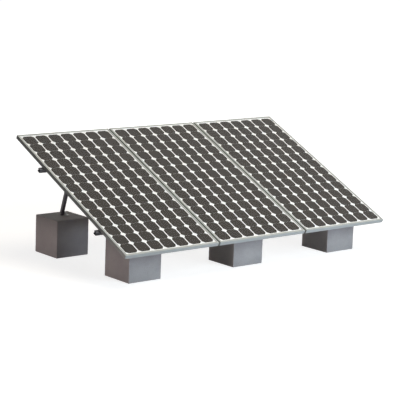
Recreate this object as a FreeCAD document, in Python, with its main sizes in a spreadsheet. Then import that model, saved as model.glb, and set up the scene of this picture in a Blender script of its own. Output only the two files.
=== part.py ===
import FreeCAD, Part
import math
import os
import Sketcher
from FreeCAD import Placement, Rotation, Vector

# Solar panel mounting rack: three framed modules on two rails, carried by three
# sloping rafters that stand on six concrete blocks.
# Millimetres. +X runs along the row of modules, +Y points back and up-slope,
# +Z is up. The origin is on the ground, in the middle of the rack's outline.

ASCENDING = ("left", "centre", "right")
HEX_SIDES = 6
SHANK_SIDES = 12  # a round shank is drawn with few sides, because there are many

# Driving dimensions: name, value, meaning
DIMENSIONS = [
    ("tilt_angle", 25, "slope of the modules, degrees from level"),
    ("module_width", 1010, "module, across the slope"),
    ("module_length", 1840, "module, up the slope"),
    ("module_gap", 17, "gap between two modules"),
    ("frame_depth", 35, "module frame, top to bottom"),
    ("frame_wall", 2, "outer wall of the module frame"),
    ("frame_step", 1.2, "how far the lower band of the wall is set back"),
    ("frame_step_height", 17, "height of the lower band"),
    ("frame_chamfer", 1, "chamfer along the top outer edge"),
    ("lip_width", 19, "lip over the glass, from the outer face"),
    ("lip_thickness", 1.5, "lip over the glass"),
    ("shelf_width", 12, "ledge under the back sheet, from the outer face"),
    ("shelf_thickness", 1.5, "ledge under the back sheet"),
    ("flange_width", 30, "bottom flange, from the outer face"),
    ("flange_thickness", 2, "bottom flange"),
    ("flange_slot_inset", 19, "outer face to the middle of a mounting slot"),
    ("flange_slot_length", 14, "mounting slot, along the frame"),
    ("glass_thickness", 4, "front glass"),
    ("cell_thickness", 0.3, "solar cell"),
    ("back_sheet_thickness", 0.8, "back sheet with its bonding film"),
    ("laminate_clearance", 1, "glass edge to the frame's wall"),
    ("cell_columns", 7, "columns of cells in a module"),
    ("cell_rows", 14, "rows of cells in a module"),
    ("cell_side_margin", 28.8, "side of a module to its outer column of cells"),
    ("cell_end_margin", 31.4, "end of a module to its outer row of cells"),
    ("cell_column_gap", 11.5, "gap between two columns of cells"),
    ("cell_row_gap", 0.8, "gap between two rows of cells"),
    ("cell_corner_cut", 23.5, "leg of the cut at each cell corner"),
    ("box_length", 120, "junction box, across the slope"),
    ("box_width", 85, "junction box, up the slope"),
    ("box_depth", 20, "junction box, without its lid"),
    ("box_wall", 2, "junction box wall"),
    ("lid_thickness", 3, "junction box lid"),
    ("box_top_margin", 150, "top edge of the module to the middle of the box"),
    ("gland_flats", 14, "cable gland, across flats"),
    ("gland_length", 12, "cable gland"),
    ("gland_spacing", 60, "between the two glands of a box"),
    ("rail_size", 35, "rail section, square"),
    ("rail_overhang", 38, "rail end beyond the outer modules"),
    ("lower_rail_position", 405, "bottom edge of the modules to the lower rail"),
    ("upper_rail_position", 1351, "bottom edge of the modules to the upper rail"),
    ("rafter_size", 40, "rafter section, square"),
    ("rafter_toe", 20, "rafter end beyond the front foot bolt"),
    ("rafter_heel", 90, "rafter end beyond the strut bolt"),
    ("profile_wall", 2, "walls of the rail and rafter sections"),
    ("slot_mouth", 8.2, "slot opening of the rails and rafters"),
    ("slot_lip", 2.2, "thickness of the slot's lips"),
    ("slot_cavity_width", 13.4, "slot cavity behind the lips"),
    ("slot_cavity_depth", 4.8, "slot cavity behind the lips"),
    ("strut_size", 31, "strut section, square"),
    ("strut_wall", 2.5, "strut wall"),
    ("strut_end", 14, "strut end beyond its bolt"),
    ("strut_lean_angle", 18, "strut, degrees forward from upright"),
    ("block_size", 346, "concrete block, each way"),
    ("block_spacing_across", 1170, "between block centres along the row"),
    ("block_spacing_deep", 1076, "between block centres, front to back"),
    ("block_setback", 373, "front edge of the modules to the front blocks' centres"),
    ("front_bolt_height", 34, "block top to the front foot bolt"),
    ("rear_bolt_height", 23, "block top to the rear foot bolt"),
    ("rear_foot_setback", 9, "rear block's centre back to its foot"),
    ("foot_thickness", 5, "foot angle"),
    ("foot_leg", 50, "foot angle, leg on the block"),
    ("foot_width", 50, "foot angle, front to back"),
    ("foot_ear_margin", 14, "foot bolt to the top of the upright leg"),
    ("anchor_offset", 28, "upright leg's outer face to the anchor bolt"),
    ("anchor_slot_length", 20, "slot for the anchor bolt in the foot"),
    ("anchor_diameter", 12, "anchor bolt"),
    ("anchor_embedment", 80, "anchor bolt inside the block"),
    ("anchor_hole_depth", 90, "anchor hole in the block"),
    ("anchor_head_flats", 18, "anchor bolt head, across flats"),
    ("anchor_head_height", 10, "anchor bolt head"),
    ("foot_bolt_size", 10, "bolt through strut and rear foot"),
    ("foot_bolt_flats", 16, "its head and nut, across flats"),
    ("foot_bolt_head", 6.4, "height of its head"),
    ("foot_bolt_nut", 8, "height of its nut"),
    ("slot_bolt_size", 8, "slot bolt and its square neck"),
    ("slot_bolt_head_length", 12.4, "slot bolt head, across the slot"),
    ("slot_bolt_head_height", 3.5, "slot bolt head"),
    ("slot_bolt_nut_flats", 13, "nut of a slot bolt, across flats"),
    ("slot_bolt_nut_height", 6.5, "nut of a slot bolt"),
    ("hole_clearance", 0.5, "beside a bolt in its punched hole, each side"),
    ("anchor_clearance", 0.2, "round an anchor in its hole, each side"),
    ("cleat_thickness", 4, "angle cleat"),
    ("cleat_leg", 34, "angle cleat, leg on the rafter"),
    ("cleat_height", 30, "angle cleat, leg on the rail"),
    ("cleat_bolt_offset", 20, "rail face to the cleat's bolt on the rafter"),
]

doc = FreeCAD.newDocument("solar_panel_mounting_rack")
dims = doc.addObject("Spreadsheet::Sheet", "dims")
for row, (alias, value, meaning) in enumerate(DIMENSIONS, start=1):
    dims.set(f"A{row}", meaning)
    dims.set(f"B{row}", str(value))
    dims.setAlias(f"B{row}", alias)
doc.recompute()


def size(alias):
    """A driving dimension as a plain number."""
    return float(dims.get(alias))


def number(expression):
    """The value of an expression on the sheet."""
    result = dims.evalExpression(expression)
    return float(getattr(result, "Value", result))


# Derived sizes

tilt = math.radians(size("tilt_angle"))
lean = math.radians(size("strut_lean_angle"))
module_pitch = size("module_width") + size("module_gap")
row_width = len(ASCENDING) * module_pitch - size("module_gap")
rafter_depth = size("frame_depth") + size("rail_size") + size("rafter_size") / 2
# The outline runs from the frame's top front chamfer to its lower back corner
outline_depth = ((size("module_length") - size("frame_step")) * math.cos(tilt)
                 + (size("frame_depth") + size("frame_chamfer")) * math.sin(tilt))
front_edge_y = -outline_depth / 2
front_block_y = front_edge_y + size("block_setback")
rear_block_y = front_block_y + size("block_spacing_deep")
rear_foot_y = rear_block_y + size("rear_foot_setback")

# Up-slope place of the front foot bolt on the rafter's middle line, and the
# height of the modules' front edge that follows from it
front_bolt_up = (size("block_setback") - rafter_depth * math.sin(tilt)) / math.cos(tilt)
front_bolt_z = size("block_size") + size("front_bolt_height")
front_edge_z = front_bolt_z - front_bolt_up * math.sin(tilt) + rafter_depth * math.cos(tilt)

# The strut's middle line meets the rafter's: its length and its place up-slope
rear_bolt_z = size("block_size") + size("rear_bolt_height")
rise_along_rafter = math.tan(tilt)
foot_run = rear_foot_y - front_block_y
height_gap = front_bolt_z + foot_run * rise_along_rafter - rear_bolt_z
strut_length = height_gap / (math.cos(lean) + math.sin(lean) * rise_along_rafter)
strut_run = foot_run - strut_length * math.sin(lean)
strut_bolt_up = front_bolt_up + strut_run / math.cos(tilt)

# Across the row: strut centres stand over block centres, rafters beside them
frame_lines = [step * size("block_spacing_across") for step in (-1, 0, 1)]
rafter_shift = -(size("rafter_size") + size("strut_size")) / 2
rail_positions = {"lower": size("lower_rail_position"), "upper": size("upper_rail_position")}

# What is left of a module between its margins is shared by the cells: 126.2 mm squares
cell_width = (size("module_width") - 2 * size("cell_side_margin") + size("cell_column_gap")) \
    / size("cell_columns") - size("cell_column_gap")
cell_length = (size("module_length") - 2 * size("cell_end_margin") + size("cell_row_gap")) \
    / size("cell_rows") - size("cell_row_gap")

slope = Placement(Vector(0, front_edge_y, front_edge_z), Rotation(Vector(1, 0, 0), size("tilt_angle")))
x_axis, y_axis, z_axis = Vector(1, 0, 0), Vector(0, 1, 0), Vector(0, 0, 1)


def on_slope(x, up, level, turn=Rotation()):
    """A place on the tilted plane: across, up-slope, and above the frames' top."""
    return slope.multiply(Placement(Vector(x, up, level), turn))


# Sketch helpers

def pin(sketch, geometry, point, expressions):
    """Tie a sketch point to the sheet; a coordinate of "0" lies on the axis."""
    for kind, axis, expression in zip(("DistanceX", "DistanceY"), (-2, -1), expressions):
        if expression == "0":
            sketch.addConstraint(Sketcher.Constraint("PointOnObject", geometry, point, axis))
            continue
        value = number(expression)
        index = sketch.addConstraint(Sketcher.Constraint(kind, -1, 1, geometry, point, value))
        sketch.setExpression(f"Constraints[{index}]", expression)


def draw_outline(sketch, corners):
    """A closed outline of straight edges, each corner given by two expressions."""
    first = sketch.GeometryCount
    places = [Vector(number(across), number(up), 0) for across, up in corners]
    count = len(places)
    for index in range(count):
        sketch.addGeometry(Part.LineSegment(places[index], places[(index + 1) % count]))
    for index in range(count):
        following = first + (index + 1) % count
        sketch.addConstraint(Sketcher.Constraint("Coincident", first + index, 2, following, 1))
    for index, corner in enumerate(corners):
        pin(sketch, first + index, 1, corner)


def draw_rectangle(sketch, low, high):
    """A rectangle between two corners given by expressions."""
    draw_outline(sketch, [low, (high[0], low[1]), high, (low[0], high[1])])


def draw_hole(sketch, centre, bolt, length=None):
    """A punched square hole for a bolt, or a slot of a given length along its second axis."""
    width = f"({bolt} + 2 * dims.hole_clearance)"
    sides = (width, length or width)
    low = [f"{place} - {side} / 2" for place, side in zip(centre, sides)]
    high = [f"{place} + {side} / 2" for place, side in zip(centre, sides)]
    draw_rectangle(sketch, low, high)


def add_sketch(body, plane_role):
    """An empty sketch on one of the body's own origin planes."""
    sketch = body.newObject("Sketcher::SketchObject", "profile")
    plane = next(item for item in body.Origin.OriginFeatures if item.Role == plane_role)
    sketch.AttachmentSupport = [(plane, "")]
    sketch.MapMode = "FlatFace"
    return sketch


def add_pad(body, sketch, length, reverse=False):
    """Extrude a sketch to a length given by an expression."""
    pad = body.newObject("PartDesign::Pad", "pad")
    pad.Profile = sketch
    pad.Reversed = reverse
    pad.setExpression("Length", length)
    body.Tip = pad
    sketch.Visibility = False


def cut_through(body, sketch):
    """Cut a sketch through everything on the positive side of its plane."""
    pocket = body.newObject("PartDesign::Pocket", "pocket")
    pocket.Profile = sketch
    pocket.Type = "ThroughAll"
    pocket.Reversed = True
    body.Tip = pocket
    sketch.Visibility = False


def add_body(label, placement):
    body = doc.addObject("PartDesign::Body", label)
    body.Label = label
    body.Placement = placement
    nodes.append(body)
    return body


def add_shape(label, shape):
    feature = doc.addObject("Part::Feature", label)
    feature.Label = label
    feature.Shape = shape
    nodes.append(feature)


def add_box(name, length, width, height, placement=Placement()):
    """A Part box whose three sizes follow the sheet."""
    box = doc.addObject("Part::Box", name)
    for prop, expression in zip(("Length", "Width", "Height"), (length, width, height)):
        box.setExpression(prop, expression)
    box.Placement = placement
    return box


nodes = []


# Concrete blocks with a blind hole for the anchor

def add_block(label, x, y, anchor_x, anchor_back):
    body = doc.addObject("Part::Cut", label)
    half = size("block_size") / 2
    body.Base = add_box(label + "_cube", "dims.block_size", "dims.block_size", "dims.block_size")
    hole = doc.addObject("Part::Cylinder", label + "_anchor_hole")
    hole.setExpression("Radius", "dims.anchor_diameter / 2 + dims.anchor_clearance")
    hole.setExpression("Height", "dims.anchor_hole_depth")
    hole_bottom = size("block_size") - size("anchor_hole_depth")
    hole.Placement.Base = Vector(half + anchor_x, half + anchor_back, hole_bottom)
    body.Tool = hole
    body.Label = label
    body.Placement.Base = Vector(x - half, y - half, 0)
    nodes.append(body)


# Cut lengths of angle: feet and cleats. The upright leg's outer corner is the
# body's origin, the flat leg runs along +X and the length along +Y.

def add_angle(label, leg, height, thickness, width, placement):
    body = add_body(label, placement)
    sketch = add_sketch(body, "XZ_Plane")
    draw_outline(sketch, [
        ("0", "0"), (leg, "0"), (leg, thickness),
        (thickness, thickness), (thickness, height), ("0", height),
    ])
    add_pad(body, sketch, width, reverse=True)
    return body


def add_foot(label, bolt_height, bolt, x, y):
    """A foot: anchored to the block, with a bolt hole in its upright leg."""
    placement = Placement(Vector(x, y - size("foot_width") / 2, size("block_size")), Rotation())
    height = f"{bolt_height} + dims.foot_ear_margin"
    body = add_angle(label, "dims.foot_leg", height, "dims.foot_thickness", "dims.foot_width", placement)
    sketch = add_sketch(body, "YZ_Plane")
    draw_hole(sketch, ("dims.foot_width / 2", bolt_height), bolt)
    cut_through(body, sketch)
    sketch = add_sketch(body, "XY_Plane")
    draw_hole(sketch, ("dims.anchor_offset", "dims.foot_width / 2"), "dims.anchor_diameter",
              "dims.anchor_slot_length")
    cut_through(body, sketch)


def add_cleat(label, line_x, rail_up):
    """A cleat behind a rail: upright leg on the rail, flat leg on the rafter."""
    rail_face = rail_up + size("rail_size") / 2
    level = -size("frame_depth") - size("rail_size")
    # Turned a quarter, so that the flat leg points up-slope
    corner = on_slope(line_x + rafter_shift + size("rafter_size") / 2, rail_face, level, Rotation(z_axis, 90))
    body = add_angle(label, "dims.cleat_leg", "dims.cleat_height", "dims.cleat_thickness",
                     "dims.rafter_size", corner)
    sketch = add_sketch(body, "YZ_Plane")
    draw_hole(sketch, ("dims.rafter_size / 2", "dims.rail_size / 2"), "dims.slot_bolt_size")
    cut_through(body, sketch)
    sketch = add_sketch(body, "XY_Plane")
    draw_hole(sketch, ("dims.cleat_bolt_offset", "dims.rafter_size / 2"), "dims.slot_bolt_size")
    cut_through(body, sketch)


# Slotted sections: a square with a hollow core and two slots, one in its top
# and one in the side that faces the sketch's first axis

def draw_slotted_section(sketch, edge):
    middle = f"{edge} / 2"
    mouth = "dims.slot_mouth / 2"
    cavity = "dims.slot_cavity_width / 2"
    lip = f"{edge} - dims.slot_lip"
    floor = f"{edge} - dims.slot_lip - dims.slot_cavity_depth"
    slot = [(edge, f"{middle} - {mouth}"), (lip, f"{middle} - {mouth}"), (lip, f"{middle} - {cavity}"),
            (floor, f"{middle} - {cavity}"), (floor, f"{middle} + {cavity}"), (lip, f"{middle} + {cavity}"),
            (lip, f"{middle} + {mouth}"), (edge, f"{middle} + {mouth}")]
    top_slot = [(up, across) for across, up in reversed(slot)]
    draw_outline(sketch, [("0", "0"), (edge, "0")] + slot + [(edge, edge)] + top_slot + [("0", edge)])
    core = f"{floor} - dims.profile_wall"
    draw_rectangle(sketch, ("dims.profile_wall", "dims.profile_wall"), (core, core))


def add_rail(label, rail_up):
    half_length = row_width / 2 + size("rail_overhang")
    underside = -size("frame_depth") - size("rail_size")
    body = add_body(label, on_slope(-half_length, rail_up - size("rail_size") / 2, underside))
    sketch = add_sketch(body, "YZ_Plane")
    draw_slotted_section(sketch, "dims.rail_size")
    row = f"{len(ASCENDING)} * (dims.module_width + dims.module_gap) - dims.module_gap"
    add_pad(body, sketch, f"{row} + 2 * dims.rail_overhang")


def add_rafter(label, line_x):
    start = front_bolt_up - size("rafter_toe")
    low_corner = on_slope(line_x + rafter_shift - size("rafter_size") / 2, start,
                          -rafter_depth - size("rafter_size") / 2)
    body = add_body(label, low_corner)
    sketch = add_sketch(body, "XZ_Plane")
    draw_slotted_section(sketch, "dims.rafter_size")
    between_bolts = strut_bolt_up - front_bolt_up
    add_pad(body, sketch, f"{between_bolts} + dims.rafter_toe + dims.rafter_heel", reverse=True)


def add_strut(label, line_x):
    """A square tube from the rear foot up to the rafter's side."""
    half = size("strut_size") / 2
    leaning = Rotation(x_axis, size("strut_lean_angle"))
    at_foot_bolt = Placement(Vector(line_x, rear_foot_y, rear_bolt_z), leaning)
    low_corner = Placement(Vector(-half, -half, -size("strut_end")), Rotation())
    body = add_body(label, at_foot_bolt.multiply(low_corner))
    sketch = add_sketch(body, "XY_Plane")
    draw_rectangle(sketch, ("0", "0"), ("dims.strut_size", "dims.strut_size"))
    inner = "dims.strut_size - dims.strut_wall"
    draw_rectangle(sketch, ("dims.strut_wall", "dims.strut_wall"), (inner, inner))
    add_pad(body, sketch, f"{strut_length} + 2 * dims.strut_end")
    sketch = add_sketch(body, "YZ_Plane")
    draw_hole(sketch, ("dims.strut_size / 2", "dims.strut_end"), "dims.foot_bolt_size")
    draw_hole(sketch, ("dims.strut_size / 2", f"dims.strut_end + {strut_length}"), "dims.slot_bolt_size")
    cut_through(body, sketch)


# Module frame members: one section, mitred at both ends. The outer face is at
# X = 0, the flange points along +X, and the length runs along +Y.

def draw_frame_section(sketch):
    lower_wall = "dims.frame_step + dims.frame_wall"
    lip_under = "dims.frame_depth - dims.lip_thickness"
    shelf_top = f"{lip_under} - dims.glass_thickness - dims.cell_thickness - dims.back_sheet_thickness"
    shelf_under = f"{shelf_top} - dims.shelf_thickness"
    draw_outline(sketch, [
        ("dims.frame_step", "0"),
        ("dims.flange_width", "0"),
        ("dims.flange_width", "dims.flange_thickness"),
        (lower_wall, "dims.flange_thickness"),
        (lower_wall, shelf_under),
        ("dims.shelf_width", shelf_under),
        ("dims.shelf_width", shelf_top),
        ("dims.frame_wall", shelf_top),
        ("dims.frame_wall", lip_under),
        ("dims.lip_width", lip_under),
        ("dims.lip_width", "dims.frame_depth"),
        ("dims.frame_chamfer", "dims.frame_depth"),
        ("0", "dims.frame_depth - dims.frame_chamfer"),
        ("0", "dims.frame_step_height"),
        ("dims.frame_step", "dims.frame_step_height"),
    ])


def add_member(label, length, placement, slot_places=()):
    body = add_body(label, placement)
    sketch = add_sketch(body, "XZ_Plane")
    draw_frame_section(sketch)
    add_pad(body, sketch, length, reverse=True)
    # Each mitre takes off a corner triangle
    sketch = add_sketch(body, "XY_Plane")
    draw_outline(sketch, [("0", "0"), ("2 * dims.flange_width", "0"),
                          ("2 * dims.flange_width", "2 * dims.flange_width")])
    draw_outline(sketch, [("0", length), ("2 * dims.flange_width", f"{length} - 2 * dims.flange_width"),
                          ("2 * dims.flange_width", length)])
    cut_through(body, sketch)
    if not slot_places:
        return
    # Mounting slots in the bottom flange, over the rails
    sketch = add_sketch(body, "XY_Plane")
    for place in slot_places:
        draw_hole(sketch, ("dims.flange_slot_inset", place), "dims.slot_bolt_size", "dims.flange_slot_length")
    pocket = body.newObject("PartDesign::Pocket", "mounting_slots")
    pocket.Profile = sketch
    pocket.Reversed = True
    pocket.setExpression("Length", "dims.flange_thickness")
    body.Tip = pocket
    sketch.Visibility = False


def add_module(side, left_x):
    """A framed module: four members, glass, cells, back sheet and junction box."""
    width, length, depth = size("module_width"), size("module_length"), size("frame_depth")
    long_side, short_side = "dims.module_length", "dims.module_width"
    places = ["dims.lower_rail_position", "dims.upper_rail_position"]
    from_top = [f"(dims.module_length - {place})" for place in places]
    add_member(f"{side}_module_frame_left", long_side, on_slope(left_x, 0, -depth), places)
    add_member(f"{side}_module_frame_bottom", short_side,
               on_slope(left_x + width, 0, -depth, Rotation(z_axis, 90)))
    add_member(f"{side}_module_frame_right", long_side,
               on_slope(left_x + width, length, -depth, Rotation(z_axis, 180)), from_top)
    add_member(f"{side}_module_frame_top", short_side,
               on_slope(left_x, length, -depth, Rotation(z_axis, 270)))

    # The laminate lies between the lip and the ledge
    edge = size("frame_wall") + size("laminate_clearance")
    inset = "2 * (dims.frame_wall + dims.laminate_clearance)"
    glass_level = -size("lip_thickness") - size("glass_thickness")
    sheet_level = glass_level - size("cell_thickness") - size("back_sheet_thickness")
    layers = [("glass", "dims.glass_thickness", glass_level),
              ("back_sheet", "dims.back_sheet_thickness", sheet_level)]
    for layer, thickness, level in layers:
        sheet = add_box(f"{side}_module_{layer}", f"dims.module_width - {inset}",
                        f"dims.module_length - {inset}", thickness, on_slope(left_x + edge, edge, level))
        nodes.append(sheet)
    add_cells(f"{side}_module_cells", left_x, glass_level)
    add_junction_box(side, left_x + width / 2, length - size("box_top_margin"), sheet_level)


def add_cells(label, left_x, top_level):
    """A grid of cells with cut corners that fills the module between its margins."""
    columns, rows = int(size("cell_columns")), int(size("cell_rows"))
    cut = size("cell_corner_cut")
    width, length = cell_width, cell_length
    outline = [(cut, 0), (width - cut, 0), (width, cut), (width, length - cut),
               (width - cut, length), (cut, length), (0, length - cut), (0, cut), (cut, 0)]
    face = Part.Face(Part.makePolygon([Vector(x, y, 0) for x, y in outline]))
    cell = face.extrude(Vector(0, 0, -size("cell_thickness")))
    cells = []
    for column in range(columns):
        for row in range(rows):
            x = left_x + size("cell_side_margin") + column * (width + size("cell_column_gap"))
            up = size("cell_end_margin") + row * (length + size("cell_row_gap"))
            cells.append(placed(cell, on_slope(x, up, top_level)))
    add_shape(label, Part.makeCompound(cells))


def add_junction_box(side, x, up, top_level):
    """A tray under the back sheet with two cable glands, closed by a lid."""
    length, width, depth = size("box_length"), size("box_width"), size("box_depth")
    label = f"{side}_module_junction_box"
    low_corner = Vector(-length / 2, -width / 2, -depth)
    outer = add_box(label + "_outside", "dims.box_length", "dims.box_width", "dims.box_depth",
                    Placement(low_corner, Rotation()))
    wall = size("box_wall")
    inner = add_box(label + "_inside", "dims.box_length - 2 * dims.box_wall",
                    "dims.box_width - 2 * dims.box_wall", "dims.box_depth - dims.box_wall",
                    Placement(low_corner + Vector(wall, wall, 0), Rotation()))
    tray = doc.addObject("Part::Cut", label + "_tray")
    tray.Base, tray.Tool = outer, inner
    parts = [tray]
    for step in (-0.5, 0.5):
        gland = doc.addObject("Part::Prism", label + "_gland")
        gland.Polygon = HEX_SIDES
        gland.setExpression("Circumradius", "dims.gland_flats / 2 / cos(30 deg)")
        gland.setExpression("Height", "dims.gland_length")
        # Laid along the slope, on the side of the box that faces down-slope
        gland.Placement = Placement(Vector(step * size("gland_spacing"), -width / 2, -depth / 2),
                                    Rotation(x_axis, 90))
        parts.append(gland)
    box = doc.addObject("Part::MultiFuse", label)
    box.Shapes = parts
    box.Label = label
    box.Placement = on_slope(x, up, top_level)
    nodes.append(box)

    lid = add_body(f"{side}_module_junction_lid",
                   on_slope(x - length / 2, up - width / 2, top_level - depth - size("lid_thickness")))
    sketch = add_sketch(lid, "XY_Plane")
    draw_rectangle(sketch, ("0", "0"), ("dims.box_length", "dims.box_width"))
    add_pad(lid, sketch, "dims.lid_thickness")


# Fasteners: each is one solid with its nut, drawn upright with the clamped
# face at Z = 0, and each kind is one group. Shanks are plain, without threads

def prism(sides, radius, height, base_z):
    """A regular prism standing on base_z, its radius taken over the corners."""
    angles = [2 * math.pi * step / sides for step in range(sides)]
    rim = [Vector(radius * math.cos(angle), radius * math.sin(angle), base_z) for angle in angles]
    return Part.Face(Part.makePolygon(rim + rim[:1])).extrude(Vector(0, 0, height))


def hexagon(flats, height, base_z):
    return prism(HEX_SIDES, flats / 2 / math.cos(math.pi / HEX_SIDES), height, base_z)


def centred_box(length, width, height, base_z):
    return Part.makeBox(length, width, height, Vector(-length / 2, -width / 2, base_z))


def anchor_bolt():
    """A hexagon head bolt that holds the foot down, its shank set in the block."""
    grip, depth = size("foot_thickness"), size("anchor_embedment")
    shank = Part.makeCylinder(size("anchor_diameter") / 2, depth + grip, Vector(0, 0, -depth))
    return shank.fuse(hexagon(size("anchor_head_flats"), size("anchor_head_height"), grip))


def foot_bolt():
    """Head below, then through the strut and the foot, nut above."""
    shank, flats = size("foot_bolt_size"), size("foot_bolt_flats")
    head, nut = size("foot_bolt_head"), size("foot_bolt_nut")
    grip = size("strut_size") + size("foot_thickness")
    middle = prism(SHANK_SIDES, shank / 2, grip, 0)
    return middle.fuse([hexagon(flats, head, -head), hexagon(flats, nut, grip)])


def slot_bolt(grip, neck_top):
    """Head in a slot's cavity, square neck up to neck_top, nut on what it clamps."""
    width, lip, thickness = size("slot_bolt_size"), size("slot_lip"), size("slot_bolt_head_height")
    head = centred_box(size("slot_bolt_head_length"), width, thickness, -lip - thickness)
    pieces = [centred_box(width, width, lip + neck_top, -lip),
              hexagon(size("slot_bolt_nut_flats"), size("slot_bolt_nut_height"), grip)]
    if neck_top < grip:
        pieces.append(prism(SHANK_SIDES, width / 2, grip - neck_top, neck_top))
    return head.fuse(pieces).removeSplitter()


def placed(shape, placement):
    copy = shape.copy()
    copy.Placement = placement
    return copy


def add_fasteners():
    along_x = Rotation(y_axis, 90)
    anchors, foot_bolts, module_bolts, cleat_bolts, rafter_bolts = [], [], [], [], []
    rail_top = -size("frame_depth")
    rafter_top = rail_top - size("rail_size")
    for line_x in frame_lines:
        rafter_x = line_x + rafter_shift
        rafter_side = rafter_x + size("rafter_size") / 2
        strut_side = line_x + size("strut_size") / 2
        for side, y in ((rafter_side, front_block_y), (strut_side, rear_foot_y)):
            place = Vector(side + size("anchor_offset"), y, size("block_size"))
            anchors.append(placed(anchor_bolt(), Placement(place, Rotation())))
        head_place = Vector(line_x - size("strut_size") / 2, rear_foot_y, rear_bolt_z)
        foot_bolts.append(placed(foot_bolt(), Placement(head_place, along_x)))
        for up, grip in ((front_bolt_up, size("foot_thickness")), (strut_bolt_up, size("strut_size"))):
            side_bolt = slot_bolt(grip, neck_top=0)
            rafter_bolts.append(placed(side_bolt, on_slope(rafter_side, up, -rafter_depth, along_x)))
        for rail_up in rail_positions.values():
            rail_face = rail_up + size("rail_size") / 2
            cleat_bolt = slot_bolt(size("cleat_thickness"), neck_top=size("cleat_thickness"))
            on_rafter = on_slope(rafter_x, rail_face + size("cleat_bolt_offset"), rafter_top)
            cleat_bolts.append(placed(cleat_bolt, on_rafter))
            facing_up_slope = Rotation(x_axis, -90).multiply(Rotation(z_axis, 90))
            on_rail = on_slope(rafter_x, rail_face, rail_top - size("rail_size") / 2, facing_up_slope)
            cleat_bolts.append(placed(cleat_bolt, on_rail))
    for index in range(len(ASCENDING)):
        left_x = -row_width / 2 + index * module_pitch
        inset = size("flange_slot_inset")
        for x in (left_x + inset, left_x + size("module_width") - inset):
            for rail_up in rail_positions.values():
                bolt = slot_bolt(size("flange_thickness"), neck_top=size("flange_thickness"))
                module_bolts.append(placed(bolt, on_slope(x, rail_up, rail_top, Rotation(z_axis, 90))))
    groups = {"anchor_bolts": anchors, "rear_foot_bolts": foot_bolts, "module_bolts": module_bolts,
              "cleat_bolts": cleat_bolts, "rafter_side_bolts": rafter_bolts}
    for label, bolts in groups.items():
        add_shape(label, Part.makeCompound(bolts))


# Assembly

for side, line_x in zip(ASCENDING, frame_lines):
    rafter_side = line_x + rafter_shift + size("rafter_size") / 2
    strut_side = line_x + size("strut_size") / 2
    add_block(f"block_front_{side}", line_x, front_block_y, rafter_side - line_x + size("anchor_offset"), 0)
    add_block(f"block_rear_{side}", line_x, rear_block_y, strut_side - line_x + size("anchor_offset"),
              size("rear_foot_setback"))
    add_foot(f"front_foot_{side}", "dims.front_bolt_height", "dims.slot_bolt_size",
             rafter_side, front_block_y)
    add_foot(f"rear_foot_{side}", "dims.rear_bolt_height", "dims.foot_bolt_size",
             strut_side, rear_foot_y)
    add_rafter(f"rafter_{side}", line_x)
    add_strut(f"strut_{side}", line_x)
    for level, rail_up in rail_positions.items():
        add_cleat(f"cleat_{level}_{side}", line_x, rail_up)
for level, rail_up in rail_positions.items():
    add_rail(f"rail_{level}", rail_up)
for index, side in enumerate(ASCENDING):
    add_module(side, -row_width / 2 + index * module_pitch)
add_fasteners()
doc.recompute()

# Checks, then one STEP file for each node

for item in doc.Objects:
    if {"Invalid", "Error"} & set(item.State):
        raise RuntimeError(f"{item.Label} failed: {item.State}")
for node in nodes:
    if node.Shape.isNull() or not node.Shape.isValid():
        raise RuntimeError(f"{node.Label} has no valid shape")

os.makedirs("parts", exist_ok=True)
for node in nodes:
    node.Shape.exportStep(f"parts/{node.Label}.step")
whole = Part.makeCompound([node.Shape for node in nodes]).BoundBox
print(f"{len(nodes)} nodes, {whole.XLength:.1f} x {whole.YLength:.1f} x {whole.ZLength:.1f} mm")
print(f"lowest {whole.ZMin:.3f}, front {whole.YMin:.3f}, back {whole.YMax:.3f}")
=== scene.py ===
import math

import bmesh
import bpy
from mathutils import Matrix, Vector, noise


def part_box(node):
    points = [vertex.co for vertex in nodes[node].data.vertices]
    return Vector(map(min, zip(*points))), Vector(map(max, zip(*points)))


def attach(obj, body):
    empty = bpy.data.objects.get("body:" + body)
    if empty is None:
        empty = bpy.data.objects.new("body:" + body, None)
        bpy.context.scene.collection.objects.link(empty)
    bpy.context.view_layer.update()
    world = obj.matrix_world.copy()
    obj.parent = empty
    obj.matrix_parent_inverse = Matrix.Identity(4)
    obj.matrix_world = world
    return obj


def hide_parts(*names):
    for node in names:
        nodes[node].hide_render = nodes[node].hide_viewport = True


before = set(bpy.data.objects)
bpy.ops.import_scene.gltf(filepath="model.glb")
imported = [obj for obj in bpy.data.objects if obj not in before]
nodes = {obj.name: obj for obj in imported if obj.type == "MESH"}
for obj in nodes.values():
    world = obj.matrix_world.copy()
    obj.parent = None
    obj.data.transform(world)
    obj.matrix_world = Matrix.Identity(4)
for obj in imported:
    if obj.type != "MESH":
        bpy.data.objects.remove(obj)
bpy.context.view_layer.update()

# Solar panel mounting rack. +X runs along the row, +Y up the slope towards the back.
# Everything is in metres, and every finished piece has its place in its mesh.

rackSides = ("left", "centre", "right")
print("frame loaded:", len(nodes), "nodes")

# The modules' slope, and their own directions: across the row, up the slope and out of the glass
slopeDegrees = 25
slopeAngle = math.radians(slopeDegrees)
acrossWay = Vector((1, 0, 0))
upWay = Vector((0, math.cos(slopeAngle), math.sin(slopeAngle)))
outWay = Vector((0, -math.sin(slopeAngle), math.cos(slopeAngle)))


# Camera: the photograph's place, direction and lens

cameraSetup = {
    "place": (-8.8465, -10.4420, 3.0909),
    "heading": 40.106,      # degrees from +Y towards +X
    "pitch": -10.767,       # degrees above the horizon
    "roll": 2.271,
    "lens": 135.12,
    "sensor": 36,           # mm wide
    "farClip": 200,
}


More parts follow.
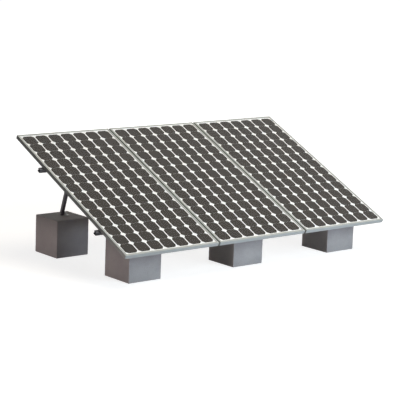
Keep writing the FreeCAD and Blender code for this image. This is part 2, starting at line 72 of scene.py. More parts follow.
def placeCamera(setup):
    heading, pitch, roll = (math.radians(setup[key]) for key in ("heading", "pitch", "roll"))
    level = math.cos(pitch)
    forward = Vector((math.sin(heading) * level, math.cos(heading) * level, math.sin(pitch)))
    levelRight = Vector((math.cos(heading), -math.sin(heading), 0))
    levelUp = levelRight.cross(forward)
    right = levelRight * math.cos(roll) + levelUp * math.sin(roll)
    up = right.cross(forward)
    turn = Matrix((right, up, -forward)).transposed()
    data = bpy.data.cameras.new("photoCamera")
    data.lens = setup["lens"]
    data.sensor_width = setup["sensor"]
    data.clip_end = setup["farClip"]
    camera = bpy.data.objects.new("photoCamera", data)
    camera.matrix_world = Matrix.Translation(setup["place"]) @ turn.to_4x4()
    bpy.context.scene.collection.objects.link(camera)
    bpy.context.scene.camera = camera


placeCamera(cameraSetup)
print("camera placed")


# Node helpers

def feed(tree, socket, value):
    # Another node's output is linked, and a plain value is written
    if isinstance(value, bpy.types.NodeSocket):
        tree.links.new(value, socket)
    else:
        socket.default_value = value


def addNode(tree, kind, inputs=None, **settings):
    node = tree.nodes.new(kind)
    for key, value in settings.items():
        setattr(node, key, value)
    for key, value in (inputs or {}).items():
        feed(tree, node.inputs[key], value)
    return node


def newGroup(name, inputs, outputs):
    group = bpy.data.node_groups.new(name, "ShaderNodeTree")
    for label, kind, value in inputs:
        socket = group.interface.new_socket(label, in_out="INPUT", socket_type=kind)
        if value is not None:
            socket.default_value = value
    for label, kind in outputs:
        group.interface.new_socket(label, in_out="OUTPUT", socket_type=kind)
    return group, group.nodes.new("NodeGroupInput"), group.nodes.new("NodeGroupOutput")


def mixColour(tree, factor, first, second, blend="MIX"):
    # A Mix node's two colour inputs are its seventh and eighth, and its colour output is its third
    return addNode(tree, "ShaderNodeMix", {0: factor, 6: first, 7: second}, data_type="RGBA",
                   blend_type=blend).outputs[2]


def compute(tree, operation, first, second=0.0):
    return addNode(tree, "ShaderNodeMath", {0: first, 1: second}, operation=operation).outputs[0]


def remap(tree, value, low, high, newLow=0.0, newHigh=1.0):
    return addNode(tree, "ShaderNodeMapRange", {"Value": value, "From Min": low, "From Max": high,
                                                "To Min": newLow, "To Max": newHigh}).outputs[0]


def objectPlace(tree):
    return addNode(tree, "ShaderNodeTexCoord").outputs["Object"]


# Groups that several finishes share

def buildMottle():
    # Large soft patches and a fine grain, both as masks round 0.5
    group, source, result = newGroup(
        "mottle",
        [("Vector", "NodeSocketVector", None), ("Patch Scale", "NodeSocketFloat", 3.0),
         ("Grain Scale", "NodeSocketFloat", 400.0)],
        [("Patches", "NodeSocketFloat"), ("Grain", "NodeSocketFloat")])
    given = source.outputs
    patches = addNode(group, "ShaderNodeTexNoise", {"Vector": given["Vector"], "Scale": given["Patch Scale"],
                                                    "Detail": 5.0, "Roughness": 0.6})
    grain = addNode(group, "ShaderNodeTexNoise", {"Vector": given["Vector"], "Scale": given["Grain Scale"],
                                                  "Detail": 2.0})
    group.links.new(patches.outputs["Fac"], result.inputs["Patches"])
    group.links.new(grain.outputs["Fac"], result.inputs["Grain"])
    return group


def buildStreaks():
    # Fine lines along one axis of the turned coordinates, as an extrusion die leaves them
    group, source, result = newGroup(
        "dieLines",
        [("Vector", "NodeSocketVector", None), ("Stretch", "NodeSocketVector", (1.0, 1.0, 1.0))],
        [("Lines", "NodeSocketFloat")])
    given = source.outputs
    stretched = addNode(group, "ShaderNodeVectorMath", {0: given["Vector"], 1: given["Stretch"]},
                        operation="MULTIPLY")
    lines = addNode(group, "ShaderNodeTexNoise", {"Vector": stretched.outputs[0], "Scale": 1.0, "Detail": 3.0,
                                                  "Roughness": 0.55})
    group.links.new(lines.outputs["Fac"], result.inputs["Lines"])
    return group


def buildSlopePlane():
    # Object coordinates turned into the modules' own plane: across, up-slope, above
    group, source, result = newGroup("slopePlane", [("Angle", "NodeSocketFloat", slopeAngle)],
                                     [("Place", "NodeSocketVector")])
    back = compute(group, "MULTIPLY", source.outputs["Angle"], -1.0)
    turn = addNode(group, "ShaderNodeVectorRotate", {"Vector": objectPlace(group), "Angle": back},
                   rotation_type="X_AXIS")
    group.links.new(turn.outputs[0], result.inputs["Place"])
    return group


mottle = buildMottle()
dieLines = buildStreaks()
slopePlane = buildSlopePlane()


def useGroup(tree, group, inputs=None):
    return addNode(tree, "ShaderNodeGroup", inputs, node_tree=group).outputs


def mottleAt(tree, place, finish):
    return useGroup(tree, mottle, {"Vector": place, "Patch Scale": finish["patchScale"],
                                   "Grain Scale": finish["grainScale"]})


def newMaterial(name, settings):
    # Plain values go straight to the shader's own sockets
    material = bpy.data.materials.new(name)
    material.use_nodes = True
    shader = material.node_tree.nodes["Principled BSDF"]
    for key, value in settings.items():
        shader.inputs[key].default_value = value
    return material, material.node_tree, shader


def addBump(tree, shader, height, distance, strength=1.0):
    bump = addNode(tree, "ShaderNodeBump", {"Height": height, "Distance": distance, "Strength": strength})
    tree.links.new(bump.outputs["Normal"], shader.inputs["Normal"])


def opaque(colour):
    return tuple(colour) + (1.0,)


def shade(colour, factor):
    return opaque(channel * factor for channel in colour)


# Parts of a mask's range that are stretched over the whole of it
wideSpan = (0.3, 0.7)
narrowSpan = (0.35, 0.65)
wholeSpan = (0.0, 1.0)


def betweenTones(tree, mask, finish):
    # The finish's colour, from its dark share to its light one
    dark, light = finish["tones"]
    return mixColour(tree, mask, shade(finish["colour"], dark), shade(finish["colour"], light))


def varyRoughness(tree, shader, mask, finish, span=wideSpan):
    smooth, coarse = (finish["roughness"] * share for share in finish["roughShares"])
    tree.links.new(remap(tree, mask, *span, smooth, coarse), shader.inputs["Roughness"])


# Finishes. Tones and roughShares are the least and greatest share of the colour and of the roughness

concreteFinish = {"colour": (0.345, 0.325, 0.318), "tones": (0.88, 1.10), "roughness": 0.85, "bump": 0.0012,
                  "patchScale": 5.0, "grainScale": 260.0, "poreScale": 70.0, "poreReach": (0.05, 0.13),
                  "poreTone": 0.55, "poreRelief": 0.7, "grainRelief": 0.3,
                  "grainTones": ((0.93, 0.92, 0.90), (1.05, 1.05, 1.05))}
drawnFinish = {"tones": (0.92, 1.07), "roughness": 0.45, "roughShares": (0.85, 1.2), "bump": (0.00006, 0.6),
               "alongLines": 3.0, "acrossLines": 900.0, "patchScale": 2.2, "grainScale": 500.0}
frameFinish = {**drawnFinish, "colour": (0.42, 0.425, 0.395), "metallic": 0.03, "specular": 0.15}
railFinish = {**drawnFinish, "colour": (0.125, 0.125, 0.135), "metallic": 0.10, "specular": 0.4}
zincFinish = {"colour": (0.40, 0.40, 0.39), "tones": (0.86, 1.12), "metallic": 0.7, "roughness": 0.42,
              "roughShares": (0.8, 1.2), "spangle": 140.0}
cellFinish = {"colour": (0.024, 0.0175, 0.011), "tones": (0.94, 1.06), "roughness": 0.4, "specular": 0.02,
              "across": 0.1377, "up": 0.127}      # from one cell to the next
glassFinish = {"colour": (0.98, 0.99, 0.985), "ior": 1.30, "roughness": 0.0, "passes": (0.95, 0.955, 0.95)}
strutFinish = {"colour": (0.098, 0.091, 0.102), "tones": (0.8, 1.25), "roughness": 0.5, "roughBy": "Patches",
               "roughShares": (0.85, 1.2), "patchScale": 9.0, "grainScale": 700.0, "bump": (0.00008, 0.5)}
sheetFinish = {"colour": (0.93, 0.92, 0.91), "tones": (0.97, 1.02), "roughness": 0.45,
               "patchScale": 3.0, "grainScale": 350.0, "bump": (0.0001, 0.4)}
plasticFinish = {"colour": (0.018, 0.018, 0.019), "tones": (0.85, 1.2), "roughness": 0.5, "roughBy": "Grain",
                 "roughShares": (0.9, 1.15), "patchScale": 12.0, "grainScale": 1200.0, "bump": (0.0001, 0.5)}


def makeConcrete(name, finish):
    material, tree, shader = newMaterial(name, {"Roughness": finish["roughness"], "Metallic": 0.0})
    place = objectPlace(tree)
    spots = mottleAt(tree, place, finish)
    base = betweenTones(tree, remap(tree, spots["Patches"], *wideSpan), finish)
    grainy = mixColour(tree, remap(tree, spots["Grain"], *narrowSpan), *map(opaque, finish["grainTones"]))
    speckled = mixColour(tree, 1.0, base, grainy, "MULTIPLY")
    # Pores: a shallow relief, and a darker colour in them that is painted shade
    pores = addNode(tree, "ShaderNodeTexVoronoi", {"Vector": place, "Scale": finish["poreScale"],
                                                   "Randomness": 1.0})
    poreMask = remap(tree, pores.outputs["Distance"], *finish["poreReach"])
    withPoreShade = mixColour(tree, poreMask, shade(finish["colour"], finish["poreTone"]), speckled)
    tree.links.new(withPoreShade, shader.inputs["Base Color"])
    height = compute(tree, "ADD", compute(tree, "MULTIPLY", poreMask, finish["poreRelief"]),
                     compute(tree, "MULTIPLY", spots["Grain"], finish["grainRelief"]))
    addBump(tree, shader, height, finish["bump"])
    return material


def makeExtrusion(name, finish, alongRow):
    material, tree, shader = newMaterial(name, {"Metallic": finish["metallic"],
                                                "Specular IOR Level": finish["specular"]})
    place = useGroup(tree, slopePlane)["Place"]
    along, across = finish["alongLines"], finish["acrossLines"]
    stretch = (along, across, across) if alongRow else (across, along, across)
    lines = useGroup(tree, dieLines, {"Vector": place, "Stretch": stretch})["Lines"]
    tone = compute(tree, "ADD", compute(tree, "MULTIPLY", lines, 0.5),
                   compute(tree, "MULTIPLY", mottleAt(tree, place, finish)["Patches"], 0.5))
    colour = betweenTones(tree, remap(tree, tone, *narrowSpan), finish)
    tree.links.new(colour, shader.inputs["Base Color"])
    varyRoughness(tree, shader, tone, finish)
    addBump(tree, shader, lines, *finish["bump"])
    return material


def makeZinc(name, finish):
    material, tree, shader = newMaterial(name, {"Metallic": finish["metallic"]})
    crystals = addNode(tree, "ShaderNodeTexVoronoi", {"Vector": objectPlace(tree),
                                                      "Scale": finish["spangle"]})
    spangle = addNode(tree, "ShaderNodeSeparateColor", {"Color": crystals.outputs["Color"]}).outputs[0]
    tree.links.new(betweenTones(tree, spangle, finish), shader.inputs["Base Color"])
    varyRoughness(tree, shader, spangle, finish, wholeSpan)
    return material


def makeMottled(name, finish):
    # Paint, film and moulded plastic: soft patches of colour over a fine grain
    material, tree, shader = newMaterial(name, {"Metallic": 0.0, "Roughness": finish["roughness"]})
    spots = mottleAt(tree, objectPlace(tree), finish)
    tree.links.new(betweenTones(tree, spots["Patches"], finish), shader.inputs["Base Color"])
    if "roughBy" in finish:
        varyRoughness(tree, shader, spots[finish["roughBy"]], finish)
    addBump(tree, shader, spots["Grain"], *finish["bump"])
    return material


def makeCells(name, finish):
    material, tree, shader = newMaterial(name, {"Metallic": 0.0, "Roughness": finish["roughness"],
                                                "Specular IOR Level": finish["specular"]})
    place = useGroup(tree, slopePlane)["Place"]
    snapped = addNode(tree, "ShaderNodeVectorMath", {0: place, 1: (finish["across"], finish["up"], 1.0)},
                      operation="SNAP")
    tint = addNode(tree, "ShaderNodeTexWhiteNoise", {"Vector": snapped.outputs[0]}, noise_dimensions="3D")
    tree.links.new(betweenTones(tree, tint.outputs["Value"], finish), shader.inputs["Base Color"])
    return material


def makeGlass(name, finish):
    material, tree, shader = newMaterial(name, {
        "Base Color": opaque(finish["colour"]), "Metallic": 0.0, "Transmission Weight": 1.0,
        "IOR": finish["ior"], "Roughness": finish["roughness"]})
    # Light from the lamps goes straight through to the cells
    rays = addNode(tree, "ShaderNodeLightPath")
    passing = compute(tree, "MAXIMUM", rays.outputs["Is Shadow Ray"], rays.outputs["Is Diffuse Ray"])
    clear = addNode(tree, "ShaderNodeBsdfTransparent", {"Color": opaque(finish["passes"])})
    choice = addNode(tree, "ShaderNodeMixShader", {0: passing, 1: shader.outputs[0], 2: clear.outputs[0]})
    tree.links.new(choice.outputs[0], tree.nodes["Material Output"].inputs["Surface"])
    return material


materials = {
    "concrete": makeConcrete("castConcrete", concreteFinish),
    "frameAcross": makeExtrusion("anodisedFrameAcross", frameFinish, True),
    "frameUp": makeExtrusion("anodisedFrameUp", frameFinish, False),
    "rail": makeExtrusion("railAluminium", railFinish, True),
    "rafter": makeExtrusion("rafterAluminium", railFinish, False),
    "strut": makeMottled("strutCoating", strutFinish),
    "zinc": makeZinc("zincPlate", zincFinish),
    "cells": makeCells("solarCells", cellFinish),
    "glass": makeGlass("solarGlass", glassFinish),
    "sheet": makeMottled("whiteBackSheet", sheetFinish),
    "plastic": makeMottled("blackPlastic", plasticFinish),
}
print("finishes made:", len(materials))


def finishFor(name):
    if name.startswith("block_"):
        return "concrete"
    if "_module_frame_" in name:
        return "frameAcross" if name.endswith(("top", "bottom")) else "frameUp"
    if name.endswith("_glass"):
        return "glass"
    if name.endswith("_cells"):
        return "cells"
    if name.endswith("_back_sheet"):
        return "sheet"
    if "junction" in name:
        return "plastic"
    if name.startswith("rail_"):
        return "rail"
    if name.startswith("rafter_") and "bolts" not in name:
        return "rafter"
    if name.startswith("strut_"):
        return "strut"
    return "zinc"


for name, piece in nodes.items():
    piece.data.materials.clear()
    piece.data.materials.append(materials[finishFor(name)])


# Mesh helpers

weldDistance = 0.00001
flatAngle = math.radians(0.5)      # faces that turn by less are one
sharpAngle = math.radians(35)      # edges that turn by more are corners
bodyOf = "root"                    # the rack is one body


def weldedCopy(node):
    work = bmesh.new()
    work.from_mesh(nodes[node].data)
    bmesh.ops.remove_doubles(work, verts=work.verts, dist=weldDistance)
    return work


def meshFrom(work, name):
    mesh = bpy.data.meshes.new(name)
    work.to_mesh(mesh)
    work.free()
    return mesh


def giveMesh(node, ending, work, finish):
    # The finished mesh stands for its CAD node
    mesh = meshFrom(work, node + ending)
    piece = bpy.data.objects.new(node + ending, mesh)
    bpy.context.scene.collection.objects.link(piece)
    mesh.materials.append(materials[finish])
    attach(piece, bodyOf)
    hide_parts(node)


def spanAlong(points, way):
    heights = [point.dot(way) for point in points]
    return min(heights), max(heights)


def middleAlong(points, way):
    return sum(spanAlong(points, way)) / 2


# Concrete blocks with worn arrises and slightly uneven cast faces

blockShape = {"arris": 0.004, "arrisSteps": 2, "cuts": 22, "unevenness": 0.0006, "waveScales": (14, 47),
              "chipDepth": 0.0022, "chipReach": 0.012, "chipScale": 31, "chipLevel": 0.15,
              "flatFoot": 0.001}      # up to this height the block stays true


def castBlock(node, shape):
    low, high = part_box(node)
    centre, half = (low + high) / 2, (high - low) / 2
    work = bmesh.new()
    bmesh.ops.create_cube(work, size=1)
    bmesh.ops.scale(work, vec=high - low, verts=work.verts)
    bmesh.ops.bevel(work, geom=work.edges[:], offset=shape["arris"], segments=shape["arrisSteps"],
                    profile=0.5, affect="EDGES")
    longEdges = [edge for edge in work.edges if edge.calc_length() > half.x]
    bmesh.ops.subdivide_edges(work, edges=longEdges, cuts=shape["cuts"], use_grid_fill=True)
    for vertex in work.verts:
        place = vertex.co.copy()
        gaps = sorted(half[axis] - abs(place[axis]) for axis in range(3))
        nearEdge = max(0.0, 1 - gaps[1] / shape["chipReach"])
        broad, fine = (noise.noise((place + centre) * scale) for scale in shape["waveScales"])
        chip = max(0.0, noise.noise((place + centre) * shape["chipScale"]) - shape["chipLevel"]) * nearEdge
        if place.z > -half.z + shape["flatFoot"]:
            wave = 0.5 + 0.5 * (broad * 0.5 + fine * 0.5)
            vertex.co += -place.normalized() * (shape["unevenness"] * wave + shape["chipDepth"] * chip)
    bmesh.ops.translate(work, vec=centre, verts=work.verts)
    bmesh.ops.recalc_face_normals(work, faces=work.faces)
    giveMesh(node, "_cast", work, "concrete")


blockNames = sorted(name for name in nodes if name.startswith("block_"))
for node in blockNames:
    castBlock(node, blockShape)
print("blocks cast:", len(blockNames))


# Glass with its clear bonding film, so that the cells lie inside it and not on a seam

glassLayer = {"filmBelow": 0.0007}      # ends inside the back sheet


def makeGlassSheet(side, layer):
    node = side + "_module_glass"
    work = weldedCopy(node)
    middle = middleAlong([vertex.co for vertex in work.verts], outWay)
    for vertex in work.verts:
        if vertex.co.dot(outWay) < middle:
            vertex.co -= outWay * layer["filmBelow"]
    bmesh.ops.recalc_face_normals(work, faces=work.faces)
    giveMesh(node, "_bonded", work, "glass")


for side in rackSides:
    makeGlassSheet(side, glassLayer)
print("glass laid:", len(rackSides))


def solidsOf(node):
    # The corners of each separate solid in a CAD node
    work = weldedCopy(node)
    groups, seen = [], set()
    for start in work.verts:
        if start in seen:
            continue
        seen.add(start)
        waiting, corners = [start], []
        while waiting:
            vertex = waiting.pop()
            corners.append(vertex.co.copy())
            for edge in vertex.link_edges:
                other = edge.other_vert(vertex)
                if other not in seen:
                    seen.add(other)
                    waiting.append(other)
        groups.append(corners)
    work.free()
    return groups


# Drawn profiles and bent angles get the small radii that the CAD solids leave sharp

cornerRadii = {"strut_": (0.0035, 4), "rail_": (0.0010, 2),
               **{"rafter_" + side: (0.0012, 2) for side in rackSides}}      # radius and steps
edgeEase = {"front_foot": 0.0007, "rear_foot": 0.0007, "cleat_lower": 0.0006, "cleat_upper": 0.0006,
            "_module_frame_": 0.00025}
profileSearch = {"longShare": 0.8, "outerShare": 0.93}      # of the longest edge, and of the farthest corner


def mergedCopy(node):
    work = weldedCopy(node)
    bmesh.ops.dissolve_limit(work, angle_limit=flatAngle, verts=work.verts, edges=work.edges)
    return work


def outerCorners(work, search):
    # A point on each long outer corner of a profile, with the normals of its two sides
    longest = max(edge.calc_length() for edge in work.edges)
    runs = [edge for edge in work.edges if edge.calc_length() > search["longShare"] * longest
            and edge.calc_face_angle(0) > sharpAngle]
    way = (runs[0].verts[1].co - runs[0].verts[0].co).normalized()
    flat = [[vertex.co - way * vertex.co.dot(way) for vertex in edge.verts] for edge in runs]
    low = Vector([min(point[axis] for ends in flat for point in ends) for axis in range(3)])
    high = Vector([max(point[axis] for ends in flat for point in ends) for axis in range(3)])
    centre = (low + high) / 2
    reach = [min((point - centre).length for point in ends) for ends in flat]
    return [(edge.verts[0].co.copy(), [face.normal.copy() for face in edge.link_faces])
            for edge, far in zip(runs, reach) if far > search["outerShare"] * max(reach)]


def roundCorners(node, radius, steps):
    # Each corner is cut back by a few planes round its radius
    work = mergedCopy(node)
    work.normal_update()
    for corner, (first, second) in outerCorners(work, profileSearch):
        for step in range(steps):
            angle = math.pi / 2 * (step + 0.5) / steps
            normal = first * math.cos(angle) + second * math.sin(angle)
            place = corner + (normal * math.cos(math.pi / 4 / steps) - first - second) * radius
            everything = work.verts[:] + work.edges[:] + work.faces[:]
            cut = bmesh.ops.bisect_plane(work, geom=everything, dist=weldDistance / 2, plane_co=place,
                                         plane_no=normal, clear_outer=True)
            rim = [part for part in cut["geom_cut"] if isinstance(part, bmesh.types.BMEdge)]
            bmesh.ops.holes_fill(work, edges=rim, sides=0)
    return work


def easeEdges(node, width):
    work = mergedCopy(node)
    sharp = [edge for edge in work.edges if edge.calc_face_angle(0) > sharpAngle]
    bmesh.ops.bevel(work, geom=sharp, offset=width, segments=1, affect="EDGES", clamp_overlap=False)
    return work


def finishProfile(node, work):
    bmesh.ops.triangulate(work, faces=[face for face in work.faces if len(face.verts) > 4])
    bmesh.ops.recalc_face_normals(work, faces=work.faces)
    giveMesh(node, "_eased", work, finishFor(node))


for key, (radius, steps) in cornerRadii.items():
    for node in [name for name in nodes if name.startswith(key)]:
        finishProfile(node, roundCorners(node, radius, steps))
for key, width in edgeEase.items():
    for node in [name for name in nodes if key in name and "bolts" not in name]:
        finishProfile(node, easeEdges(node, width))
print("profiles and angles eased")


# Bolts: flanged nuts on threaded shanks, set out by Geometry Nodes on the CAD bolts' places

slotBolt = {"nutFlats": 0.013, "nutHeight": 0.0065, "flange": 0.0088, "shank": 0.004, "stub": 0.003,
            "head": (0.0124, 0.008, 0.0035), "hexHead": False}
boltKinds = {
    "module_bolts": {**slotBolt, "neck": 0.004},
    "cleat_bolts": {**slotBolt, "neck": 0.006},
    "rafter_side_bolts": {**slotBolt, "neck": 0.002},
    "rear_foot_bolts": {"nutFlats": 0.016, "nutHeight": 0.008, "flange": 0.0105, "shank": 0.005,
                        "stub": 0.004, "head": (0.016, 0.016, 0.0064), "hexHead": True, "neck": 0.0},
    "anchor_bolts": {"nutFlats": 0.018, "nutHeight": 0.010, "flange": 0.0130, "shank": 0.006,
                     "stub": 0.0, "head": (0.010, 0.010, 0.001), "hexHead": True, "neck": 0.0},
}
# Shares of the nut's flats and height and of the flange's and the shank's radius, and numbers of sides
boltForm = {"chamfer": 0.06, "crown": 0.49, "flangeHeight": 0.26, "flangeTop": 0.80, "flangeSides": 28,
            "shankSides": 20, "threadPitch": 0.30, "threadRoot": 0.84}
hexSides = 6
hexCornerShare = 2 * math.cos(math.pi / hexSides)      # flats over the radius to a corner


def times(tree, value, factor):
    return compute(tree, "MULTIPLY", value, factor)


def placeOf(tree, geometry, height, turned=False):
    offset = addNode(tree, "ShaderNodeCombineXYZ", {"Z": height})
    turn = (math.pi, 0.0, 0.0) if turned else (0.0, 0.0, 0.0)
    return addNode(tree, "GeometryNodeTransform", {"Geometry": geometry, "Translation": offset.outputs[0],
                                                   "Rotation": turn}).outputs[0]


def joinParts(tree, parts):
    joined = addNode(tree, "GeometryNodeJoinGeometry")
    for part in parts:
        tree.links.new(part, joined.inputs[0])
    return joined.outputs[0]


def cylinder(tree, sides, radius, depth):
    return addNode(tree, "GeometryNodeMeshCylinder", {"Vertices": sides, "Radius": radius,
                                                      "Depth": depth}).outputs[0]


def cone(tree, sides, bottom, top, depth):
    return addNode(tree, "GeometryNodeMeshCone", {"Vertices": sides, "Radius Bottom": bottom,
                                                  "Radius Top": top, "Depth": depth}).outputs[0]


def cube(tree, x, y, z):
    size = addNode(tree, "ShaderNodeCombineXYZ", {"X": x, "Y": y, "Z": z})
    return addNode(tree, "GeometryNodeMeshCube", {"Size": size.outputs[0]}).outputs[0]


def newPlacedTree(name, sizes):
    # A tree that sets one shape on every point; sizes are its own named inputs
    tree = bpy.data.node_groups.new(name, "GeometryNodeTree")
    places = [("Places", "Geometry")]
    for label, kind in places + sizes + [("Material", "Material")]:
        tree.interface.new_socket(label, in_out="INPUT", socket_type="NodeSocket" + kind)
    tree.interface.new_socket("Pieces", in_out="OUTPUT", socket_type="NodeSocketGeometry")
    return tree, tree.nodes.new("NodeGroupInput").outputs


def spreadOut(tree, given, shape):
    # The shape at every place, turned as the place's own attribute says, made real and given its material
    turn = addNode(tree, "GeometryNodeInputNamedAttribute", {"Name": "turn"}, data_type="FLOAT_VECTOR")
    spread = addNode(tree, "GeometryNodeInstanceOnPoints", {
        "Points": given["Places"], "Instance": shape, "Rotation": turn.outputs[0]})
    solid = addNode(tree, "GeometryNodeRealizeInstances", {"Geometry": spread.outputs[0]})
    painted = addNode(tree, "GeometryNodeSetMaterial", {"Geometry": solid.outputs[0],
                                                        "Material": given["Material"]})
    tree.links.new(painted.outputs[0], tree.nodes.new("NodeGroupOutput").inputs[0])


def nutParts(tree, given, form):
    # Hexagon, its chamfered top and the flange under it
    corner = compute(tree, "DIVIDE", given["Nut Flats"], hexCornerShare)
    chamfer = times(tree, given["Nut Flats"], form["chamfer"])
    bodyHeight = compute(tree, "SUBTRACT", given["Nut Height"], chamfer)
    body = cylinder(tree, hexSides, corner, bodyHeight)
    top = cone(tree, hexSides, corner, times(tree, given["Nut Flats"], form["crown"]), chamfer)
    flange = cone(tree, form["flangeSides"], given["Flange Radius"],
                  times(tree, given["Flange Radius"], form["flangeTop"]),
                  times(tree, given["Nut Height"], form["flangeHeight"]))
    return [placeOf(tree, body, times(tree, bodyHeight, 0.5)), placeOf(tree, top, bodyHeight),
            placeOf(tree, flange, 0.0)]


def shankParts(tree, given, form):
    # Shank, with rows of ridges for the thread above the nut
    radius = given["Shank Radius"]
    length = compute(tree, "ADD", given["Grip"], given["Nut Height"])
    middle = compute(tree, "SUBTRACT", times(tree, given["Nut Height"], 0.5), times(tree, given["Grip"], 0.5))
    shank = cylinder(tree, form["shankSides"], radius, length)
    pitch = times(tree, radius, form["threadPitch"])
    ridge = cone(tree, form["shankSides"], radius, times(tree, radius, form["threadRoot"]),
                 times(tree, pitch, 0.5))
    quarter = times(tree, pitch, 0.25)
    lower = placeOf(tree, ridge, times(tree, quarter, -1.0), True)
    ridges = joinParts(tree, [placeOf(tree, ridge, quarter), lower])
    rowStart = addNode(tree, "ShaderNodeCombineXYZ", {"Z": given["Nut Height"]})
    rowStep = addNode(tree, "ShaderNodeCombineXYZ", {"Z": pitch})
    row = addNode(tree, "GeometryNodeMeshLine", {
        "Count": compute(tree, "DIVIDE", given["Stub"], pitch), "Start Location": rowStart.outputs[0],
        "Offset": rowStep.outputs[0]})
    thread = addNode(tree, "GeometryNodeInstanceOnPoints", {"Points": row.outputs[0], "Instance": ridges})
    return [placeOf(tree, shank, middle), thread.outputs[0]]


def headParts(tree, given):
    # A hammer head in a slot, or a hexagon; the square neck above it is left out where it has no height
    size = addNode(tree, "ShaderNodeSeparateXYZ", {"Vector": given["Head Size"]}).outputs
    hammer = addNode(tree, "GeometryNodeMeshCube", {"Size": given["Head Size"]}).outputs[0]
    hexagon = cylinder(tree, hexSides, compute(tree, "DIVIDE", size[0], hexCornerShare), size[2])
    head = addNode(tree, "GeometryNodeSwitch", {"Switch": given["Hexagon Head"], "False": hammer,
                                                "True": hexagon}, input_type="GEOMETRY")
    below = times(tree, compute(tree, "ADD", given["Grip"], times(tree, size[2], 0.5)), -1.0)
    side = times(tree, given["Shank Radius"], 2.0)
    neck = addNode(tree, "GeometryNodeSwitch", {"Switch": compute(tree, "GREATER_THAN", given["Neck"], 0.0),
                                                "True": cube(tree, side, side, given["Neck"])},
                   input_type="GEOMETRY")
    neckPlace = compute(tree, "SUBTRACT", times(tree, given["Neck"], 0.5), given["Grip"])
    return [placeOf(tree, head.outputs[0], below), placeOf(tree, neck.outputs[0], neckPlace)]


def buildBoltTree(form):
    lengths = ("Nut Flats", "Nut Height", "Flange Radius", "Shank Radius", "Grip", "Stub", "Neck")
    tree, given = newPlacedTree("boltSet", [(label, "Float") for label in lengths]
                                + [("Head Size", "Vector"), ("Hexagon Head", "Bool")])
    parts = nutParts(tree, given, form) + shankParts(tree, given, form) + headParts(tree, given)
    spreadOut(tree, given, joinParts(tree, parts))
    return tree


def bakeNodes(name, tree, places, turns, values):
    # Runs a tree on a set of points and returns the plain mesh
    points = bpy.data.meshes.new(name + "Places")
    points.from_pydata(places, [], [])
    attribute = points.attributes.new("turn", "FLOAT_VECTOR", "POINT")
    attribute.data.foreach_set("vector", [angle for turn in turns for angle in turn])
    carrier = bpy.data.objects.new(name + "Places", points)
    bpy.context.scene.collection.objects.link(carrier)
    modifier = carrier.modifiers.new(name, "NODES")
    modifier.node_group = tree
    sockets = {item.name: item.identifier for item in tree.interface.items_tree if item.in_out == "INPUT"}
    for label, value in values.items():
        modifier[sockets[label]] = value
    evaluated = carrier.evaluated_get(bpy.context.evaluated_depsgraph_get())
    mesh = bpy.data.meshes.new_from_object(evaluated)
    carrier.modifiers.clear()
    bpy.data.objects.remove(carrier)
    return mesh


shellGap = 0.000002      # corners of stacked shapes that are this near are one


def dropInnerFaces(work):
    # Stacked shapes share a ring of corners, and the faces between them go
    bmesh.ops.remove_doubles(work, verts=work.verts, dist=shellGap)
    inner = [face for face in work.faces if all(len(edge.link_faces) > 2 for edge in face.edges)]
    bmesh.ops.delete(work, geom=inner, context="FACES")


def turnFor(way, side):
    # Angles that bring Z onto the bolt's way and X onto its head's long side
    return Matrix((side, way.cross(side), way)).transposed().to_euler()


def boltWays(node, corners):
    if node == "anchor_bolts":
        return Vector((0, 0, 1)), acrossWay
    if node == "rear_foot_bolts":
        return acrossWay, Vector((0, 0, -1))
    if node == "rafter_side_bolts":
        return acrossWay, -outWay
    if node == "module_bolts":
        return outWay, upWay
    # A cleat's bolts go into the rail or into the rafter, each along its longer way
    outLength, upLength = (high - low for low, high in (spanAlong(corners, way) for way in (outWay, upWay)))
    return (outWay if outLength > upLength else upWay), acrossWay


def makeBolts(node, kind, tree):
    byGrip = {}
    for corners in solidsOf(node):
        way, side = boltWays(node, corners)
        other = way.cross(side)
        low, high = spanAlong(corners, way)
        seat = high - kind["nutHeight"]
        grip = round(seat - low - kind["head"][2], 4)      # bolts of one length are baked together
        centre = way * seat + side * middleAlong(corners, side) + other * middleAlong(corners, other)
        byGrip.setdefault(grip, []).append((centre, turnFor(way, side)))
    work = bmesh.new()
    for grip, spots in byGrip.items():
        places, turns = zip(*spots)
        work.from_mesh(bakeNodes(node, tree, places, turns, {
            "Nut Flats": kind["nutFlats"], "Nut Height": kind["nutHeight"], "Flange Radius": kind["flange"],
            "Shank Radius": kind["shank"], "Grip": grip, "Stub": kind["stub"], "Neck": kind["neck"],
            "Head Size": kind["head"], "Hexagon Head": kind["hexHead"], "Material": materials["zinc"]}))
    dropInnerFaces(work)
    giveMesh(node, "_flanged", work, "zinc")


boltTree = buildBoltTree(boltForm)
for node, kind in boltKinds.items():
    makeBolts(node, kind, boltTree)
print("bolts set:", sum(len(solidsOf(node)) for node in boltKinds))


# Junction boxes: moulded tray with ribbed glands, lid with a raised field and four screws

# rimShare is of the corner's radius, screwTop of the screw's radius and screwSink of the field's step
boxShape = {"corner": 0.004, "cornerSteps": 3, "rimShare": 0.25, "rimSteps": 2, "field": 0.010,
            "fieldStep": 0.0008, "screwInset": 0.008, "screwRadius": 0.0034, "screwTop": 0.8,
            "screwHeight": 0.0008, "screwSides": 20, "screwSink": 0.6}
uprightCosine = 0.9
rimAngle = math.radians(60)
glandShape = {"flats": 0.014, "length": 0.012, "spacing": 0.060, "ribs": 12}
# Shares of the gland's length, of half its flats and, for the ribs' length, of the cap's
glandForm = {"baseLength": 0.35, "capLength": 0.55, "noseLength": 0.10, "capBottom": 0.88, "capTop": 0.74,
             "noseTop": 0.45, "ribRing": 0.82, "ribWidth": 0.16, "ribLength": 0.85, "sides": 24}


